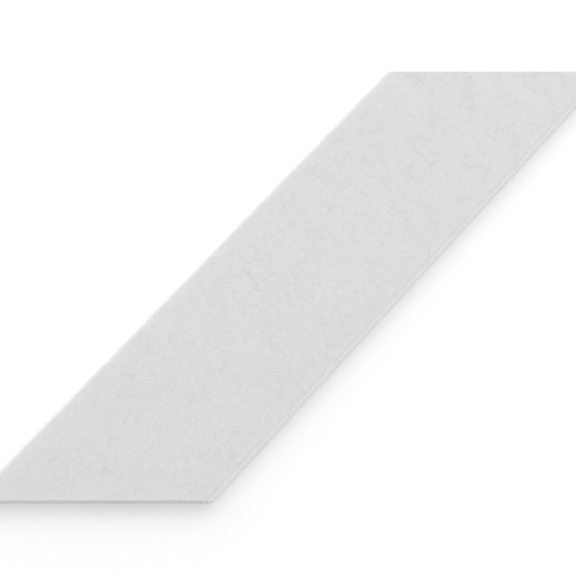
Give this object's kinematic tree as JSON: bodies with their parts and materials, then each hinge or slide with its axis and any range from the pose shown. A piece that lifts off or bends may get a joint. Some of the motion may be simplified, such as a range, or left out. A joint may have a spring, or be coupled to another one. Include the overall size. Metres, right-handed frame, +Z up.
{
  "type": "cut strip of hook and loop tape, loop side",
  "caption": "Flat strip of pale grey loop tape. A soft loop pile covers it from edge to edge, and both ends are cut on the slant. Hook tape grips its pile.",
  "frame": {"origin": "on the underside, at the middle of the strip's outline", "axes": "+X along the tape, +Y across it, +Z up out of the loop pile"},
  "size_m": [0.0891, 0.02, 0.002],
  "materials": {
    "loop_pile_cloth": "matt pale grey woven tape with a fine loop pile"
  },
  "bodies": {
    "root": {"loop_tape": "loop_pile_cloth"}
  },
  "joints": []
}
